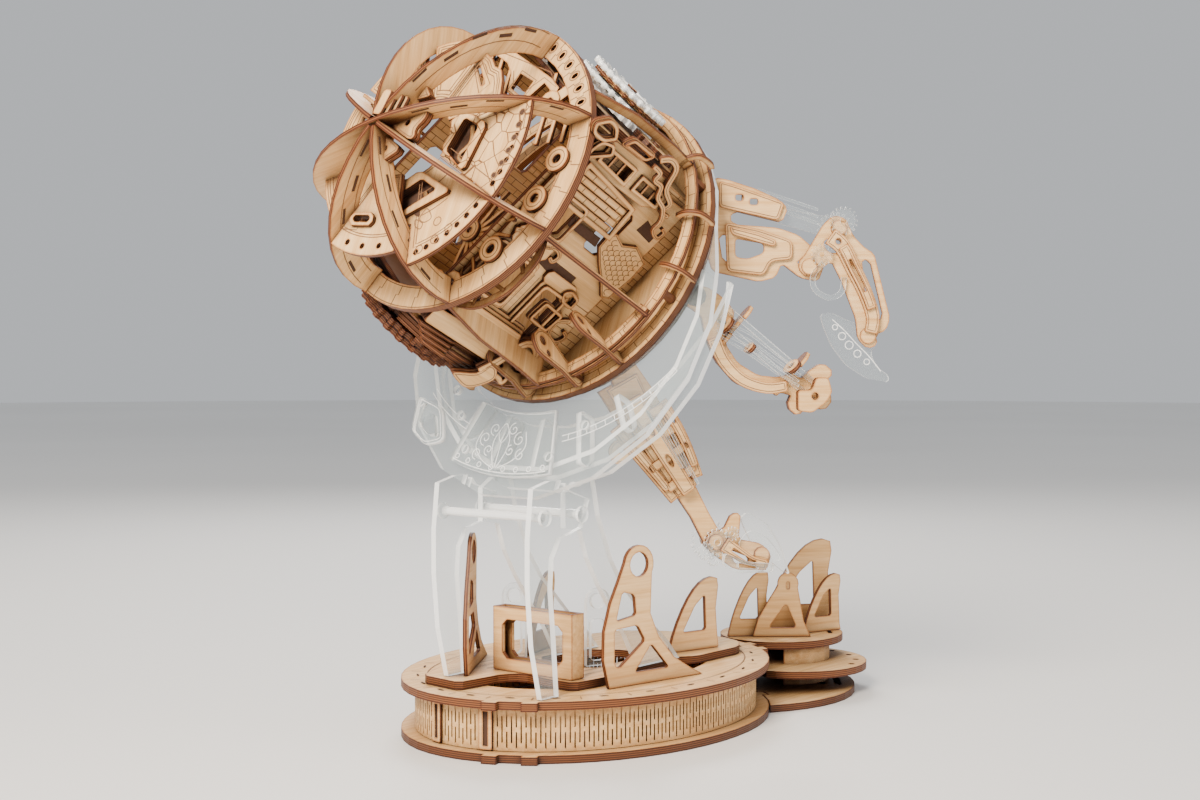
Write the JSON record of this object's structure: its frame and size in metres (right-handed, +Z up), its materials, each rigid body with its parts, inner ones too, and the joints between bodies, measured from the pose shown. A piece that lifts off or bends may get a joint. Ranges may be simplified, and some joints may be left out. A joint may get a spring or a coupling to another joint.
{
  "type": "mechanical jellyfish model",
  "caption": "Laser-cut plywood and clear acrylic jellyfish: domed bell with gear stacks, clear skirt and legs, jointed claw tentacles, and an oval drum base with fins.",
  "frame": {"origin": "on the underside of the base drum's bottom plate, under the bell's plane of symmetry", "axes": "+Z up, +X from the dome towards the tentacles"},
  "size_m": [0.3635, 0.2285, 0.3456],
  "materials": {
    "back_plate": "raw plywood, laser-cut edges",
    "base_bottom_plate": "raw plywood, laser-cut edges",
    "base_top_ring": "raw plywood, laser-cut edges",
    "base_wall": "raw plywood, laser-cut edges",
    "clear_gear": "clear polished acrylic",
    "clear_hook_far": "clear polished acrylic",
    "clear_hook_near": "clear polished acrylic",
    "coral_fin_back": "raw plywood, laser-cut edges",
    "coral_fin_left": "raw plywood, laser-cut edges",
    "coral_fin_right": "raw plywood, laser-cut edges",
    "coral_fin_round": "raw plywood, laser-cut edges",
    "core_box": "raw plywood, laser-cut edges",
    "crown_ring": "raw plywood, laser-cut edges",
    "deck_platform": "raw plywood, laser-cut edges",
    "dome_arch_a": "raw plywood, laser-cut edges",
    "dome_arch_b": "raw plywood, laser-cut edges",
    "dome_arch_c": "raw plywood, laser-cut edges",
    "dome_rib_far": "raw plywood, laser-cut edges",
    "facade_near": "raw plywood, laser-cut edges",
    "front_leg_far": "clear polished acrylic",
    "front_leg_near": "clear polished acrylic",
    "gear_plate_lower": "raw plywood, laser-cut edges",
    "gear_plate_upper": "raw plywood, laser-cut edges",
    "gear_shaft": "raw plywood, laser-cut edges",
    "idler_gear": "raw plywood, laser-cut edges",
    "inner_rim_ring": "raw plywood, laser-cut edges",
    "leg_pin_front": "clear polished acrylic",
    "leg_pin_rear": "clear polished acrylic",
    "lower_arm": "raw plywood, laser-cut edges",
    "lower_claw": "clear polished acrylic",
    "lower_elbow_gear": "clear polished acrylic",
    "lower_forearm": "raw plywood, laser-cut edges",
    "lower_link": "clear polished acrylic",
    "middle_arm": "raw plywood, laser-cut edges",
    "middle_strips": "clear polished acrylic",
    "petal_left": "raw plywood, laser-cut edges",
    "petal_near_lower": "raw plywood, laser-cut edges",
    "petal_near_upper": "raw plywood, laser-cut edges",
    "rear_leg_far": "clear polished acrylic",
    "rear_leg_near": "clear polished acrylic",
    "rim_ring": "raw plywood, laser-cut edges",
    "ring_fin_far": "raw plywood, laser-cut edges",
    "ring_fin_near": "raw plywood, laser-cut edges",
    "seabed_low_plate": "raw plywood, laser-cut edges",
    "seabed_middle_plate": "raw plywood, laser-cut edges",
    "seabed_post": "raw plywood, laser-cut edges",
    "seabed_top_plate": "raw plywood, laser-cut edges",
    "shark_fin_far": "raw plywood, laser-cut edges",
    "shark_fin_near": "raw plywood, laser-cut edges",
    "skirt_back_plate": "clear polished acrylic",
    "skirt_front_plate": "clear polished acrylic",
    "skirt_wall": "clear polished acrylic",
    "stringer_low": "raw plywood, laser-cut edges",
    "stringer_near": "raw plywood, laser-cut edges",
    "upper_arm": "raw plywood, laser-cut edges",
    "upper_claw": "clear polished acrylic",
    "upper_elbow_gear": "clear polished acrylic",
    "upper_forearm": "raw plywood, laser-cut edges",
    "upper_link": "clear polished acrylic",
    "window_frame": "raw plywood, laser-cut edges"
  },
  "bodies": {
    "frame": {"back_plate": "back_plate", "base_bottom_plate": "base_bottom_plate", "base_top_ring": "base_top_ring", "base_wall": "base_wall", "clear_hook_far": "clear_hook_far", "clear_hook_near": "clear_hook_near", "coral_fin_back": "coral_fin_back", "coral_fin_left": "coral_fin_left", "coral_fin_right": "coral_fin_right", "coral_fin_round": "coral_fin_round", "core_box": "core_box", "crown_ring": "crown_ring", "deck_platform": "deck_platform", "dome_arch_a": "dome_arch_a", "dome_arch_b": "dome_arch_b", "dome_arch_c": "dome_arch_c", "dome_rib_far": "dome_rib_far", "facade_near": "facade_near", "front_leg_far": "front_leg_far", "front_leg_near": "front_leg_near", "gear_plate_lower": "gear_plate_lower", "gear_plate_upper": "gear_plate_upper", "inner_rim_ring": "inner_rim_ring", "leg_pin_front": "leg_pin_front", "leg_pin_rear": "leg_pin_rear", "petal_left": "petal_left", "petal_near_lower": "petal_near_lower", "petal_near_upper": "petal_near_upper", "rear_leg_far": "rear_leg_far", "rear_leg_near": "rear_leg_near", "rim_ring": "rim_ring", "ring_fin_far": "ring_fin_far", "ring_fin_near": "ring_fin_near", "seabed_low_plate": "seabed_low_plate", "seabed_middle_plate": "seabed_middle_plate", "seabed_post": "seabed_post", "seabed_top_plate": "seabed_top_plate", "shark_fin_far": "shark_fin_far", "shark_fin_near": "shark_fin_near", "skirt_back_plate": "skirt_back_plate", "skirt_front_plate": "skirt_front_plate", "skirt_wall": "skirt_wall", "stringer_low": "stringer_low", "stringer_near": "stringer_near", "window_frame": "window_frame"},
    "upper_arm": {"upper_arm": "upper_arm", "upper_link": "upper_link"},
    "upper_forearm": {"upper_forearm": "upper_forearm", "upper_elbow_gear": "upper_elbow_gear"},
    "upper_claw": {"upper_claw": "upper_claw"},
    "lower_arm": {"lower_arm": "lower_arm", "lower_link": "lower_link"},
    "lower_forearm": {"lower_forearm": "lower_forearm", "lower_elbow_gear": "lower_elbow_gear"},
    "lower_claw": {"lower_claw": "lower_claw"},
    "middle_arm": {"middle_arm": "middle_arm", "middle_strips": "middle_strips"},
    "gear_shaft": {"gear_shaft": "gear_shaft", "clear_gear": "clear_gear"},
    "idler": {"idler_gear": "idler_gear"}
  },
  "joints": [
    {"name": "upper_shoulder", "type": "hinge", "parent": "frame", "child": "upper_arm", "pos_m": [0.0006, -0.06004, 0.26366], "axis": [-0.766, -0.6428, 0], "range_deg": [-15, 12]},
    {"name": "upper_elbow", "type": "hinge", "parent": "upper_arm", "child": "upper_forearm", "pos_m": [0.04206, -0.10945, 0.25166], "axis": [-0.766, -0.6428, 0], "range_deg": [-7.5, 7.5]},
    {"name": "upper_claw_pivot", "type": "hinge", "parent": "upper_forearm", "child": "upper_claw", "pos_m": [0.05138, -0.12056, 0.19916], "axis": [-0.766, -0.6428, 0], "range_deg": [-40, 30]},
    {"name": "lower_shoulder", "type": "hinge", "parent": "frame", "child": "lower_arm", "pos_m": [-0.03281, -0.029, 0.1886], "axis": [-0.6157, -0.788, 0], "range_deg": [-12, 16]},
    {"name": "lower_elbow", "type": "hinge", "parent": "lower_arm", "child": "lower_forearm", "pos_m": [0.0069, -0.06003, 0.09741], "axis": [-0.6157, -0.788, 0], "range_deg": [-30, 40]},
    {"name": "lower_claw_pivot", "type": "hinge", "parent": "lower_forearm", "child": "lower_claw", "pos_m": [0.0255, -0.07456, 0.09061], "axis": [-0.6157, -0.788, 0], "range_deg": [-40, 25]},
    {"name": "middle_shoulder", "type": "hinge", "parent": "frame", "child": "middle_arm", "pos_m": [-0.01975, -0.06761, 0.21794], "axis": [-0.6691, -0.7431, 0], "range_deg": [-15, 12]},
    {"name": "gear_shaft_spin", "type": "hinge", "parent": "frame", "child": "gear_shaft", "pos_m": [-0.07085, 0, 0.26052], "axis": [0.3116, -0.6428, 0.6998], "continuous": true},
    {"name": "idler_spin", "type": "hinge", "parent": "frame", "child": "idler", "pos_m": [-0.07415, -0.02516, 0.23888], "axis": [0.3116, -0.6428, 0.6998], "continuous": true}
  ],
  "couplings": [
    {"joint": "idler_spin", "follows": "gear_shaft_spin", "ratio": -2}
  ]
}
